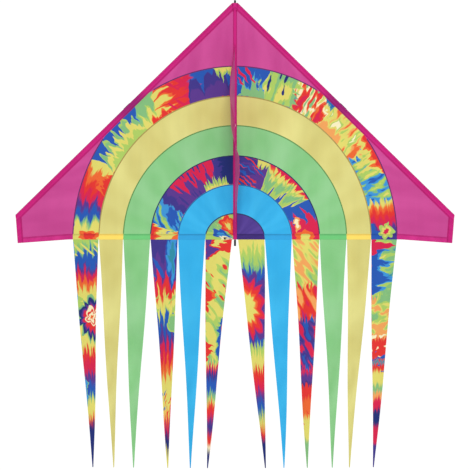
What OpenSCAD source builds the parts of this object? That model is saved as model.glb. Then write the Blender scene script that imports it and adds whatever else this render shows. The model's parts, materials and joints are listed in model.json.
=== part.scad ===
// Delta kite with a keel, arched rainbow panels and twelve streamer tails.
// Millimetres, nose up (+Z), right wing to +X, keel towards -Y.
// The origin is the centre of the tow eyelet at the point of the keel.

/* [Sail] */
// Wingspan, tip to tip
wing_span = 1422; // [1100:1:1800]
// Height of the nose above the tow eyelet
nose_z = 408; // [330:1:500]
// Height of the trailing edge, below the tow eyelet
hem_z = -361; // [-440:1:-300]
// Height of each wing tip's upper corner
tip_z = -281; // [-330:1:-230]
// How far each wing tip's lower corner hangs below the trailing edge
tip_droop = 12; // [0:1:30]
// How far each wing tip's lower corner is set in towards the spine
tip_rake = 7; // [0:1:20]
// Angle that each wing slopes back from the spine
dihedral = 8; // [0:0.5:15]
// Thickness of one layer of sail cloth
cloth = 0.4; // [0.3:0.05:1]

/* [Arches] */
// Half width of the centre panel at the trailing edge
centre_rx = 97; // [80:1:110]
// Half width of the sky blue arch at the trailing edge
blue_rx = 186; // [160:1:205]
// Half width of the inner tie-dye arch at the trailing edge
inner_dye_rx = 276; // [245:1:300]
// Half width of the green arch at the trailing edge
green_rx = 365; // [335:1:390]
// Half width of the yellow arch at the trailing edge
yellow_rx = 445; // [420:1:475]
// Half width of the outer tie-dye arch at the trailing edge
outer_dye_rx = 530; // [500:1:560]
// Height of the centre panel at the spine
centre_rz = 83; // [60:1:100]
// Height of the sky blue arch at the spine
blue_rz = 176; // [150:1:200]
// Height of the inner tie-dye arch at the spine
inner_dye_rz = 269; // [240:1:300]
// Height of the green arch at the spine
green_rz = 366; // [335:1:395]
// Height of the yellow arch at the spine
yellow_rz = 461; // [430:1:490]
// Height of the outer tie-dye arch at the spine
outer_dye_rz = 557; // [525:1:590]

/* [Hems and sleeves] */
// Width of the leading edge sleeve
sleeve_w = 20; // [16:1:30]
// Space between a spar's end caps and the inside of its sleeve
sleeve_space = 0.2; // [0.1:0.05:1.5]
// Width of the wing tip hem
tip_hem_w = 19; // [12:1:26]
// Height of the trailing hem
hem_h = 18; // [12:1:26]
// Width of the spine sleeve
spine_sleeve_w = 12; // [11:0.5:16]
// Space between the spine rod and the inside of its sleeve
spine_sleeve_space = 0.55; // [0.35:0.05:1.5]

/* [Keel] */
// Distance from the tow eyelet to the spine
keel_depth = 190; // [140:1:240]
// Height of the keel's upper end on the spine
keel_top = 268; // [200:1:320]
// Height of the keel's lower end on the spine
keel_low = -352; // [-356:1:-250]
// Width of cloth left round the tow eyelet
keel_margin = 14; // [10:1:20]
// Width of the hem on the keel's free edges
keel_hem_w = 12; // [8:1:16]
// Length of each side of the keel's reinforcing patch
patch_len = 52; // [35:1:80]

/* [Eyelet] */
// Radius of the hole for the flying line clip
eyelet_r = 3; // [2:0.25:4]
// Outer radius of the eyelet's flanges
eyelet_flange_r = 6; // [5:0.5:8]
// Length of the eyelet's barrel
eyelet_len = 2.4; // [2:0.2:4]

/* [Rods] */
// Radius of the spine rod
spine_rod_r = 2.75; // [2:0.05:2.9]
// Radius of each leading edge spar
spar_r = 2.25; // [1.75:0.05:2.4]
// Radius of the spreader rod
spreader_r = 2.75; // [2:0.05:3]
// Wall of the push-on end caps
cap_wall = 0.75; // [0.6:0.05:0.75]
// Distance along the leading edge from the nose to the spar's upper cap
spar_from = 62; // [40:1:120]
// Distance from the spar's lower cap to the wing tip
spar_short = 26; // [20:1:60]
// Distance along the leading edge from the nose to the spreader fittings
fitting_at = 490; // [400:1:600]
// How far the spreader's axis stands behind the leading edge spar's axis
spreader_lift = 12; // [11.5:0.5:16]

/* [Tails] */
// Length of the tails
tail_len = 735; // [500:1:900]
// Width of a tail at its tip
tail_tip_w = 3; // [2:1:10]
// Space between neighbouring tails at the trailing edge
tail_space = 1.6; // [1:0.2:4]
// Distance from the spine to the innermost tails
tail_from = 10; // [9:1:15]

/* [Hidden] */
$fn = 48;
SIDES = ["left", "right"];
ARCH_NAMES = ["centre_panel", "blue_band", "inner_dye_band", "green_band", "yellow_band", "outer_dye_band"];
TAIL_NAMES = ["centre_tail", "blue_tail", "inner_dye_tail", "green_tail", "yellow_tail", "outer_dye_tail"];

MAGENTA = "#c8409a";
SLEEVE_PINK = "#c41f7e";
YELLOW = "#d8cf78";
GREEN = "#7fca80";
BLUE = "#2fa8df";
DYE = "#3c4fa8";
PURPLE = "#4b3288";
BLACK = "#1c1c1e";
ROD = "#2a2b2e";
NICKEL = "#c9c6bd";
ARCH_COLOURS = [PURPLE, BLUE, DYE, GREEN, YELLOW, DYE];

// half widths and heights of the six arches, from the centre out
ARCH_RX = [centre_rx, blue_rx, inner_dye_rx, green_rx, yellow_rx, outer_dye_rx];
ARCH_RZ = [centre_rz, blue_rz, inner_dye_rz, green_rz, yellow_rz, outer_dye_rz];
ARCH_STEPS = 24;
// sideways drift of each tail's tip, away from the spine, from the centre out
TIP_DRIFT_LEFT = [36, 4, -12, 10, -10, -24];
TIP_DRIFT_RIGHT = [46, 18, 4, -4, -32, -36];

// running space between pieces that turn against each other
gap = 0.3;
// space inside a push-on fit
push = 0.05;
far = 3000;

// where the wings and the keel start, measured from the spine's axis
seam_u = spine_sleeve_w / 2 + gap;
// where the leading edge sleeves start, clear of the nose cap
sleeve_u = max(seam_u + 2.7, spine_rod_r + cap_wall + 4);
half_u = wing_span / 2 / cos(dihedral);

// outer radii of the round parts of the sleeves
cap_r = spar_r + cap_wall;
sleeve_r = cap_r + sleeve_space + cloth;
spine_sleeve_r = spine_rod_r + spine_sleeve_space + cloth;

// corners of one wing, as distance from the spine and height
nose = [0, nose_z];
tip_top = [half_u, tip_z];
tip_low = [half_u - tip_rake, hem_z - tip_droop];
hem_break = [outer_dye_rx + 15, hem_z];

function unit(v) = v / norm(v);
// a quarter turn anticlockwise
function turned(v) = [-v.y, v.x];
edge_angle = atan2(nose_z - tip_z, half_u);
edge_dir = unit(tip_top - nose);
edge_len = norm(tip_top - nose);
tip_dir = unit(tip_low - tip_top);

// spars
cap_depth = 12;
cap_end = 3;
spar_to = edge_len - spar_short;

// spreader fitting: a saddle on the spar with a post behind it, set in from the edge
saddle_len = 26;
saddle_wall = 2.6;
post_r = 4.5;
post_in = 6;
pin_r = 2.5;
head_r = 4.2;
head_h = 1.6;
eye_half = 3;
eye_r = 6.5;
eye_bore_r = pin_r + 0.1;
socket_wall = 1.6;
socket_len = 34;
socket_from = max(head_r, post_r) + 1.7;
clip_wall = 2.2;
clip_bore_r = spreader_r + 0.45;
clip_in = 20;
clip_out = 5;
clip_stop = 2;
post_at = nose + fitting_at * edge_dir - (sleeve_r + post_in) * turned(edge_dir);
// the post's place in the whole kite, on the right side
post_x = post_at.x * cos(dihedral) - spreader_lift * sin(dihedral);
post_y = keel_depth + post_at.x * sin(dihedral) + spreader_lift * cos(dihedral);
spreader_from = -post_x + socket_from + 2;
spreader_to = post_x + clip_out - clip_stop - gap;

// keel corners, as distance along Y and height
keel_root_y = keel_depth - seam_u;
keel_upper = [keel_root_y, keel_top];
keel_lower = [keel_root_y, keel_low];
point_half = 16;
point_upper = [-keel_margin, point_half];
point_lower = [-keel_margin, -point_half];

// tails hang just clear of the trailing hem
hinge_z = hem_z - cloth - gap;

// ---------- helpers ----------

// puts children drawn on the right wing (X out from the spine, Y back, Z up) on either wing
module on_wing(side)
    translate([0, keel_depth, 0])
        mirror([side == "left" ? 1 : 0, 0, 0])
            rotate([0, 0, dihedral])
                children();

// a sheet standing in the X-Z plane, centred on its own thickness
module sheet(layers = 1)
    rotate([90, 0, 0])
        linear_extrude(layers * cloth, center = true)
            children();

// a sheet standing in the Y-Z plane
module fore_aft_sheet(layers = 1)
    rotate([90, 0, 90])
        linear_extrude(layers * cloth, center = true)
            children();

// children drawn along a leading edge: X in from the edge, Y back, Z from the nose to the tip
module along_edge()
    translate([nose.x, 0, nose.y])
        rotate([0, 90 + edge_angle, 0])
            children();

// a strip of the given width on the right-hand side of the way from p along d, which also covers
// a little of the left-hand side, so that nothing is left between it and an outline along d
module strip(p, d, w)
    let (outside = p + turned(d), inside = p - w * turned(d))
        polygon([outside - far * d, outside + far * d, inside + far * d, inside - far * d]);

// a push-on cap with a closed end at z = 0 and its mouth upwards
module cap(rod_r, depth, end)
    difference() {
        cylinder(r = rod_r + cap_wall, h = depth + end);
        translate([0, 0, end]) cylinder(r = rod_r + push, h = depth + 1);
    }

// a round tube of cloth with its two layers sewn together beside it
module sleeve_profile(r, from, to)
    difference() {
        union() {
            circle(r = r);
            translate([from, -cloth]) square([to - from, 2 * cloth]);
        }
        circle(r = r - cloth);
    }

// ---------- outlines of one wing ----------

module wing_outline()
    polygon([
        [seam_u, nose_z - seam_u * tan(edge_angle)],
        tip_top,
        tip_low,
        hem_break,
        [seam_u, hem_z]
    ]);

module edge_strip() strip(nose, edge_dir, sleeve_w);

module tip_strip() strip(tip_top, tip_dir, tip_hem_w);

module hem_strip()
    polygon([
        [0, hem_z],
        hem_break,
        tip_low,
        tip_low + [0, hem_h],
        hem_break + [0, hem_h],
        [0, hem_z + hem_h]
    ]);

module sail_area()
    difference() {
        wing_outline();
        edge_strip();
        tip_strip();
        hem_strip();
    }

// a quarter ellipse round the foot of the spine
module arch(i)
    polygon(concat([[0, hem_z]], [
        for (k = [0:ARCH_STEPS])
            let (a = 90 * k / ARCH_STEPS)
                [ARCH_RX[i] * cos(a), hem_z + ARCH_RZ[i] * sin(a)]
    ]));

module band(i)
    intersection() {
        sail_area();
        difference() {
            arch(i);
            if (i > 0) arch(i - 1);
        }
    }

// the side of the sail above, or below, a line up at 45 degrees from the foot of the spine
module corner_half(above)
    polygon([
        [0, hem_z],
        [far, hem_z + far],
        above ? [0, hem_z + far] : [far, hem_z - far],
        above ? [-1, hem_z + far] : [0, hem_z - far]
    ]);

module outer_corner(above)
    intersection() {
        difference() {
            sail_area();
            arch(5);
        }
        corner_half(above);
    }

// ---------- spine ----------

module spine_rod()
    color(ROD)
        translate([0, keel_depth, hem_z - 18])
            cylinder(r = spine_rod_r, h = nose_z - 3 - (hem_z - 18));

module spine_sleeve()
    color(SLEEVE_PINK)
        translate([0, keel_depth, hem_z])
            linear_extrude(nose_z - 22 - hem_z)
                sleeve_profile(spine_sleeve_r, -spine_sleeve_w / 2, spine_sleeve_w / 2);

module nose_cap()
    color(BLACK)
        translate([0, keel_depth, nose_z + push])
            mirror([0, 0, 1])
                cap(spine_rod_r, 16, cap_end);

module spine_end_cap()
    color(BLACK)
        translate([0, keel_depth, hem_z - 18 - cap_end - push])
            cap(spine_rod_r, 16, cap_end);

// ---------- keel ----------

module keel_outline() polygon([keel_upper, point_upper, point_lower, keel_lower]);

module keel_edges() {
    strip(keel_upper, unit(keel_upper - point_upper), keel_hem_w);
    strip(point_upper, unit(point_upper - point_lower), keel_hem_w);
    strip(keel_lower, unit(point_lower - keel_lower), keel_hem_w);
}

// the eyelet's own hole through the cloth
module eyelet_hole() circle(r = eyelet_r + 0.8);

module keel_fin()
    color(MAGENTA)
        fore_aft_sheet()
            difference() {
                keel_outline();
                keel_edges();
                eyelet_hole();
            }

module keel_hem()
    color(SLEEVE_PINK)
        fore_aft_sheet(2)
            difference() {
                intersection() {
                    keel_outline();
                    keel_edges();
                }
                eyelet_hole();
            }

// one patch on each side of the fin, inside its hems
module keel_patch()
    color(SLEEVE_PINK)
        for (x = [-cloth, cloth])
            translate([x, 0, 0])
                fore_aft_sheet()
                    difference() {
                        intersection() {
                            keel_outline();
                            polygon([
                                [-far, -far], [-keel_margin + patch_len, -far],
                                [-keel_margin + patch_len, far], [-far, far]
                            ]);
                        }
                        keel_edges();
                        eyelet_hole();
                    }

module tow_eyelet()
    color(NICKEL)
        rotate([0, 90, 0])
            rotate_extrude()
                polygon([
                    [eyelet_r, -eyelet_len / 2],
                    [eyelet_flange_r, -eyelet_len / 2],
                    [eyelet_flange_r, -eyelet_len / 2 + 0.4],
                    [eyelet_r + 0.6, -eyelet_len / 2 + 0.4],
                    [eyelet_r + 0.6, eyelet_len / 2 - 0.4],
                    [eyelet_flange_r, eyelet_len / 2 - 0.4],
                    [eyelet_flange_r, eyelet_len / 2],
                    [eyelet_r, eyelet_len / 2]
                ]);

// ---------- sail panels ----------

module arch_panel(side, i)
    color(i == 0 && side == "left" ? DYE : ARCH_COLOURS[i])
        on_wing(side) sheet() band(i);

module nose_panel(side) color(MAGENTA) on_wing(side) sheet() outer_corner(true);

module tip_panel(side) color(MAGENTA) on_wing(side) sheet() outer_corner(false);

module tip_hem(side)
    color(SLEEVE_PINK)
        on_wing(side)
            sheet(2)
                difference() {
                    intersection() {
                        wing_outline();
                        tip_strip();
                    }
                    edge_strip();
                }

module trailing_hem(side)
    color(SLEEVE_PINK)
        on_wing(side)
            sheet(2)
                difference() {
                    intersection() {
                        wing_outline();
                        hem_strip();
                    }
                    edge_strip();
                    tip_strip();
                }

// the back of the sleeve is open where the spreader's fitting holds the spar
module leading_edge_sleeve(side)
    color(SLEEVE_PINK)
        on_wing(side)
            difference() {
                intersection() {
                    along_edge()
                        translate([sleeve_r, 0, 0])
                            linear_extrude(edge_len + 50)
                                sleeve_profile(sleeve_r, 0, sleeve_w - sleeve_r);
                    rotate([90, 0, 0])
                        linear_extrude(4 * sleeve_r, center = true)
                            polygon([
                                [sleeve_u, far],
                                tip_top - far * tip_dir,
                                tip_low + far * tip_dir,
                                [sleeve_u, -far]
                            ]);
                }
                along_edge()
                    translate([-5, cloth + 0.1, fitting_at - saddle_len / 2 - 2])
                        cube([sleeve_r + post_in + post_r + 6, 10, saddle_len + 4]);
            }

// ---------- spars, spreader and fittings ----------

module leading_edge_spar(side)
    color(ROD)
        on_wing(side)
            along_edge()
                translate([sleeve_r, 0, spar_from + cap_end])
                    cylinder(r = spar_r, h = spar_to - spar_from - 2 * cap_end);

module spar_nose_cap(side)
    color(BLACK)
        on_wing(side)
            along_edge()
                translate([sleeve_r, 0, spar_from - push])
                    cap(spar_r, cap_depth, cap_end);

module spar_tip_cap(side)
    color(BLACK)
        on_wing(side)
            along_edge()
                translate([sleeve_r, 0, spar_to + push])
                    mirror([0, 0, 1])
                        cap(spar_r, cap_depth, cap_end);

// half a tube on the back of the spar, with a round post behind it
module saddle(post_h)
    along_edge()
        difference() {
            translate([sleeve_r, 0, fitting_at])
                union() {
                    translate([0, 0, -saddle_len / 2])
                        cylinder(r = spar_r + push + saddle_wall, h = saddle_len);
                    translate([post_in, 0, 0])
                        rotate([-90, 0, 0])
                            cylinder(r = post_r, h = post_h);
                }
            translate([sleeve_r, 0, fitting_at - saddle_len])
                cylinder(r = spar_r + push, h = 2 * saddle_len);
            translate([-30, cloth + gap - 40, fitting_at - saddle_len])
                cube([80, 40, 2 * saddle_len]);
        }

// left: the post carries a headed pin that the spreader's socket turns on
module spar_fitting_left()
    color(BLACK)
        on_wing("left") {
            saddle(spreader_lift - eye_half - gap);
            translate([post_at.x, 0, post_at.y])
                rotate([-90, 0, 0]) {
                    translate([0, 0, spreader_lift - eye_half - 2])
                        cylinder(r = pin_r, h = 2 * eye_half + 4);
                    translate([0, 0, spreader_lift + eye_half + gap])
                        cylinder(r = head_r, h = head_h);
                }
        }

// right: the post carries a clip that the spreader's end snaps into from behind
module spar_fitting_right()
    color(BLACK) {
        difference() {
            union() {
                on_wing("right") saddle(spreader_lift);
                translate([post_x - clip_in, post_y, post_at.y])
                    rotate([0, 90, 0])
                        cylinder(r = clip_bore_r + clip_wall, h = clip_in + clip_out);
            }
            translate([post_x - clip_in - 10, post_y, post_at.y])
                rotate([0, 90, 0])
                    cylinder(r = clip_bore_r, h = clip_in + clip_out - clip_stop + 10);
            translate([post_x - clip_in - 10, post_y, post_at.y - clip_bore_r])
                cube([clip_in + clip_out - clip_stop + 10, 30, 2 * clip_bore_r]);
        }
    }

module spreader_rod()
    color(ROD)
        translate([spreader_from, post_y, post_at.y])
            rotate([0, 90, 0])
                cylinder(r = spreader_r, h = spreader_to - spreader_from);

// a short tube pushed on the spreader, with an eye for the left fitting's pin
module spreader_socket()
    color(BLACK)
        difference() {
            union() {
                on_wing("left")
                    translate([post_at.x, spreader_lift - eye_half, post_at.y])
                        rotate([-90, 0, 0])
                            cylinder(r = eye_r, h = 2 * eye_half);
                translate([-post_x + socket_from, post_y, post_at.y])
                    rotate([0, 90, 0])
                        cylinder(r = spreader_r + socket_wall, h = socket_len);
            }
            on_wing("left")
                translate([post_at.x, 0, post_at.y])
                    rotate([-90, 0, 0])
                        cylinder(r = eye_bore_r, h = 3 * spreader_lift);
            translate([spreader_from - push, post_y, post_at.y])
                rotate([0, 90, 0])
                    cylinder(r = spreader_r + push, h = socket_len + 10);
        }

// ---------- tails ----------

module tail(side, i) {
    from = i == 0 ? tail_from : ARCH_RX[i - 1] + tail_space / 2;
    to = ARCH_RX[i] - tail_space / 2;
    drift = side == "left" ? TIP_DRIFT_LEFT[i] : TIP_DRIFT_RIGHT[i];
    tip_u = (from + to) / 2 + drift;
    color(ARCH_COLOURS[i])
        on_wing(side)
            sheet()
                polygon([
                    [from, hinge_z],
                    [to, hinge_z],
                    [tip_u + tail_tip_w / 2, hinge_z - tail_len],
                    [tip_u - tail_tip_w / 2, hinge_z - tail_len]
                ]);
}

// ---------- the kite ----------

spine_rod();
spine_sleeve();
nose_cap();
spine_end_cap();
keel_fin();
keel_hem();
keel_patch();
tow_eyelet();
spar_fitting_left();
spar_fitting_right();
spreader_rod();
spreader_socket();
for (side = SIDES) {
    nose_panel(side);
    tip_panel(side);
    tip_hem(side);
    trailing_hem(side);
    leading_edge_sleeve(side);
    leading_edge_spar(side);
    spar_nose_cap(side);
    spar_tip_cap(side);
    for (i = [0:5]) {
        arch_panel(side, i);
        tail(side, i);
    }
}
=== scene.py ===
"""Delta kite: sail cloth, tie-dyed arches, hems, sleeves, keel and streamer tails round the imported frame.

Metres, nose up (+Z), right wing to +X, keel towards -Y. The origin is the tow eyelet.
A place on a wing is given as out (from the spine along the wing), back (behind the flat sail) and up.
"""
import json
import math

import bmesh
import bpy
import numpy as np
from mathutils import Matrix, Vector


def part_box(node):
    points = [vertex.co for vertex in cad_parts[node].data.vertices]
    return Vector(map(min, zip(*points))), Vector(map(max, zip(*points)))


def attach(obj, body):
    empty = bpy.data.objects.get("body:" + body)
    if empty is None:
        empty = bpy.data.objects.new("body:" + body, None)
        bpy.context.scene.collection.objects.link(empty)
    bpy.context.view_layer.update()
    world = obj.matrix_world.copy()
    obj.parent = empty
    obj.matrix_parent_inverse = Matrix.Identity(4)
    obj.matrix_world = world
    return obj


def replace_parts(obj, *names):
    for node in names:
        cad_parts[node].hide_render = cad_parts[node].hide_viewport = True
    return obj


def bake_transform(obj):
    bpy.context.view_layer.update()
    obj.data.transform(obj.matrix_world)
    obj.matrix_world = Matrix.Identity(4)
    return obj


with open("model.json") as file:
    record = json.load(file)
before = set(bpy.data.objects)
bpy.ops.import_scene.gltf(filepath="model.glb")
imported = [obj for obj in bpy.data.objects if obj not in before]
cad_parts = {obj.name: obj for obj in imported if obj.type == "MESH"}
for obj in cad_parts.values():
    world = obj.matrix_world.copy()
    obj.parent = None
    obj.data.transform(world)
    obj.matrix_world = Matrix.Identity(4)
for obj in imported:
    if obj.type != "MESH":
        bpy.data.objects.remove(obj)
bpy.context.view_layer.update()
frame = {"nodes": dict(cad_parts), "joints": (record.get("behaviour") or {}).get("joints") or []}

MM = 0.001
SIDES = {"left": -1, "right": 1}
ARCHES = ["centre_panel", "blue_band", "inner_dye_band", "green_band", "yellow_band", "outer_dye_band"]
TAILS = ["centre_tail", "blue_tail", "inner_dye_tail", "green_tail", "yellow_tail", "outer_dye_tail"]
VIEW_Z = -0.3466
FLOOR_Z = -1.26


# ---------- camera, light and floor ----------

def aim(thing, target):
    """Turns a camera or light so that it looks at a point, with its top upwards."""
    thing.rotation_euler = (Vector(target) - thing.location).to_track_quat("-Z", "Y").to_euler()


def add_camera():
    """A long lens square on to the kite, level with the middle of its height."""
    lens = bpy.data.cameras.new("camera")
    lens.lens = 286
    lens.clip_end = 60
    camera = bpy.data.objects.new("camera", lens)
    bpy.context.scene.collection.objects.link(camera)
    camera.location = (0, -11.81, VIEW_Z)
    aim(camera, (0, 0, VIEW_Z))
    bpy.context.scene.camera = camera


def add_softbox(name, place, size, power, target=(0, 0.15, -0.3)):
    """A square studio light pointed at the kite."""
    lamp = bpy.data.lights.new(name, "AREA")
    lamp.size = size
    lamp.energy = power
    softbox = bpy.data.objects.new(name, lamp)
    bpy.context.scene.collection.objects.link(softbox)
    softbox.location = place
    aim(softbox, target)


def add_studio():
    """White surroundings, a key light above the front and a weaker one behind, and a pale floor.

    The camera sees the surroundings brighter than the kite is lit by them.
    """
    scene = bpy.context.scene
    scene.view_settings.view_transform = "Standard"
    world = bpy.data.worlds.new("studio")
    scene.world = world
    world.use_nodes = True
    tree = world.node_tree
    dim = tree.nodes["Background"]
    bright = tree.nodes.new("ShaderNodeBackground")
    for light, strength in ((dim, 0.57), (bright, 1.05)):
        light.inputs["Color"].default_value = (1, 1, 1, 1)
        light.inputs["Strength"].default_value = strength
    seen = tree.nodes.new("ShaderNodeLightPath")
    either = tree.nodes.new("ShaderNodeMixShader")
    tree.links.new(seen.outputs["Is Camera Ray"], either.inputs[0])
    tree.links.new(dim.outputs[0], either.inputs[1])
    tree.links.new(bright.outputs[0], either.inputs[2])
    tree.links.new(either.outputs[0], tree.nodes["World Output"].inputs["Surface"])
    add_softbox("key_light", (0.2, -4.8, 2.4), 2.0, 160)
    add_softbox("back_light", (1.8, 3.4, 1.6), 2.4, 90)
    x, y = np.meshgrid(np.linspace(-3.2, 3.2, 8), np.linspace(-3.6, 2.6, 8), indexing="ij")
    floor = new_mesh("floor", together(x, y, FLOOR_Z))
    floor.data.materials.append(floor_paint())


# ---------- measures of the kite, from the frame ----------

def node_points(node):
    """A CAD node's vertices as rows of x, y and z."""
    mesh = frame["nodes"][node].data
    points = np.empty(len(mesh.vertices) * 3)
    mesh.vertices.foreach_get("co", points)
    return points.reshape(-1, 3)


def unit(v):
    return v / np.linalg.norm(v)


def to_wing(node):
    """A wing node's vertices as out and up, whichever side it is on."""
    x, y, z = node_points(node).T
    side = -1 if node.endswith("left") else 1
    return np.stack([side * x * COS + (y - SPINE_Y) * SIN, z], axis=-1)


def corner(node, direction):
    """The (out, up) of a wing node's furthest vertex in a direction."""
    flat = to_wing(node)
    return flat[np.argmax(flat @ direction)]


PIVOT_AXIS = next(j["axis"] for j in frame["joints"] if j["name"] == "spreader_pivot")
SIN, COS = abs(PIVOT_AXIS[0]), abs(PIVOT_AXIS[1])
SPINE_Y = sum(v.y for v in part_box("spine_rod")) / 2
HEM_Z, SPINE_TOP = [v.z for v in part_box("spine_sleeve")]
HEM_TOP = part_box("blue_band_right")[0].z
HEM_H = HEM_TOP - HEM_Z
SEAM = corner("yellow_band_right", (-1, 0))[0]
SLEEVE_START = corner("leading_edge_sleeve_right", (-1, 0))[0]

NOSE = np.array([0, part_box("nose_cap")[1].z])
TIP_TOP = corner("leading_edge_sleeve_right", (1, 0))
TIP_LOW = corner("tip_hem_right", (0, -1))
EDGE = unit(TIP_TOP - NOSE)
EDGE_OUT = np.array([-EDGE[1], EDGE[0]])
EDGE_LEN = np.linalg.norm(TIP_TOP - NOSE)
TIP = unit(TIP_LOW - TIP_TOP)
TIP_OUT = np.array([-TIP[1], TIP[0]])
SLEEVE_W = -np.max((to_wing("nose_panel_right") - NOSE) @ EDGE_OUT)
TIP_HEM_W = -np.max((to_wing("tip_panel_right") - TIP_TOP) @ TIP_OUT)
FITTING_ALONG = (to_wing("spar_fitting_left") - NOSE) @ EDGE
FITTING_AT = (FITTING_ALONG.min() + FITTING_ALONG.max()) / 2
FITTING_HALF = np.ptp(FITTING_ALONG) / 2
TAIL_LOW, TAIL_TOP = [v.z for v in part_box("yellow_tail_right")]


def arch_sizes():
    """Half width and height of each arch's ellipse, from where its node meets the hem and the spine."""
    sizes = []
    for name in ARCHES:
        foot = corner(name + "_right", (1, 0))
        top = corner(name + "_right", (0, 1))
        height = top[1] - HEM_Z
        width = foot[0] / math.sqrt(1 - (HEM_H / height) ** 2)
        sizes.append((width, height / math.sqrt(1 - (top[0] / width) ** 2)))
    return np.array(sizes)


ARCH = arch_sizes()
OUTER_W, OUTER_H = ARCH[-1]
# the trailing edge starts to slope down to the wing tip just outside the outer arch
HEM_BREAK = np.array([OUTER_W + 15 * MM, HEM_Z])

CLOTH = 0.3 * MM
LAYER = 0.32 * MM  # how far each layer of a fold stands from its middle
TUCK = 3 * MM  # how far a panel reaches under a hem or a sleeve
PANEL_INSET = SLEEVE_W - TUCK  # where a panel stops under the leading edge sleeve


# ---------- shape of the sail ----------

def from_edge(out, up):
    """Distance in from the leading edge."""
    return -((out - NOSE[0]) * EDGE_OUT[0] + (up - NOSE[1]) * EDGE_OUT[1])


def smooth(x, low, high):
    """Rises smoothly from 0 to 1 between low and high."""
    t = np.clip((x - low) / (high - low), 0, 1)
    return t * t * (3 - 2 * t)


def billow(side, out, up):
    """How far the cloth stands behind the flat wing.

    It is held along the spine and the leading edge and is slack between them, more so towards the
    trailing edge. Soft folds fan out from the foot of the spine and hang from the leading edge.
    """
    edge = np.clip(from_edge(out, up) - SLEEVE_W, 0, None)
    spine = np.clip(out - SEAM, 0, None)
    slack = 4 * edge * spine / (edge + spine + 1e-6) ** 2
    slack = slack * smooth(edge, 0, 60 * MM) * smooth(spine, 0, 30 * MM)
    down = np.clip((NOSE[1] - up) / (NOSE[1] - HEM_Z), 0, 1)
    hem_hold = 0.45 + 0.55 * smooth(up, HEM_Z, HEM_Z + 150 * MM)
    angle = np.arctan2(up - HEM_Z, out)
    radius = np.hypot(out, up - HEM_Z)
    fan = np.sin(11 * angle + 0.8 * side + 2 * np.sin(5 * angle)) * smooth(radius, 90 * MM, 330 * MM)
    finer = np.sin(23 * angle - side + 3 * np.sin(radius / (130 * MM))) * smooth(radius, 200 * MM, 420 * MM)
    along = (out - NOSE[0]) * EDGE[0] + (up - NOSE[1]) * EDGE[1]
    tug = np.sin(along / (21 * MM) + 2 * np.sin(along / (90 * MM) + side)) * np.exp(-edge / (26 * MM))
    drag = np.sin(out / (14 * MM) + side) * np.exp(-(up - HEM_Z) / (45 * MM))
    drag = drag * smooth(spine, 0, 40 * MM) * smooth(edge, 0, 60 * MM)
    folds = 1.3 * MM * (fan + 0.6 * finer) + 0.5 * MM * tug
    return slack * (8 * MM * (0.3 + 0.7 * down) * hem_hold + folds) + 0.5 * MM * drag


def together(x, y, z):
    """Grids, rows, columns or numbers as one grid of points."""
    return np.stack(np.broadcast_arrays(x, y, z), axis=-1)


def on_wing(side, out, up, back):
    """Points behind the flat wing, in the kite's own frame."""
    return together(side * (out * COS - back * SIN), SPINE_Y + out * SIN + back * COS, up)


def on_sail(side, out, up, back=0.0):
    """Points on the billowed sail, or back behind it."""
    return on_wing(side, out, up, billow(side, out, up) + back)


def hem_line(out):
    """Height of the trailing edge, which slopes down from the hem break to the wing tip's lower corner."""
    return np.interp(out, [HEM_BREAK[0], TIP_LOW[0]], [HEM_Z, TIP_LOW[1]])


# ---------- making meshes ----------

def grid_faces(rows, columns, wrap=False):
    """Quads between neighbouring points of a grid. A wrapped one also joins its last column to its first."""
    start = np.arange(rows * columns).reshape(rows, columns)
    if wrap:
        start = np.hstack([start, start[:, :1]])
    return np.stack([start[:-1, :-1], start[:-1, 1:], start[1:, 1:], start[1:, :-1]], axis=-1).reshape(-1, 4)


def new_mesh(name, points, maps=None, wrap=False, keep=None):
    """An object from a grid of points, smooth over its faces, with a UV map for each named pair of grids.

    keep says which faces stay. Points that fall together are joined, and open edges are marked sharp.
    """
    faces = grid_faces(*points.shape[:2], wrap)
    if keep is not None:
        faces = faces[keep(points.reshape(-1, 3)[faces])]
    mesh = bpy.data.meshes.new(name)
    mesh.from_pydata(points.reshape(-1, 3).tolist(), [], faces.tolist())
    mesh.polygons.foreach_set("use_smooth", np.ones(len(faces), bool))
    corners = np.empty(len(mesh.loops), np.int32)
    mesh.loops.foreach_get("vertex_index", corners)
    for title, (across, along) in (maps or {}).items():
        layer = mesh.uv_layers.new(name=title)
        flat = together(across, along, points[..., 0]).reshape(-1, 3)[corners, :2]
        layer.data.foreach_set("uv", flat.astype(np.float32).ravel())
    work = bmesh.new()
    work.from_mesh(mesh)
    bmesh.ops.remove_doubles(work, verts=work.verts, dist=1e-6)
    loose = [v for v in work.verts if not v.link_faces]
    bmesh.ops.delete(work, geom=loose, context="VERTS")
    for edge in work.edges:
        edge.smooth = not edge.is_boundary
    work.to_mesh(mesh)
    work.free()
    piece = bpy.data.objects.new(name, mesh)
    bpy.context.scene.collection.objects.link(piece)
    return piece


def sew(name, points, maps, cloth, slot, stands_for, **settings):
    """A sheet of cloth, half its thickness to each side, with the node it stands for. Its record slot is not
    used.
    """
    piece = new_mesh(name, points, maps, **settings)
    solidify = piece.modifiers.new("thickness", "SOLIDIFY")
    solidify.thickness = CLOTH
    solidify.offset = 0
    piece.data.materials.append(cloth)
    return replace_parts(piece, stands_for)


def flat_area(out, up):
    """Area of a grid laid flat, as the sum of its quads' cross products."""
    points = together(out, up, 0)
    a = points[1:, 1:] - points[:-1, :-1]
    b = points[1:, :-1] - points[:-1, 1:]
    return float(np.abs(a[..., 0] * b[..., 1] - a[..., 1] * b[..., 0]).sum() / 2)


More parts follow.
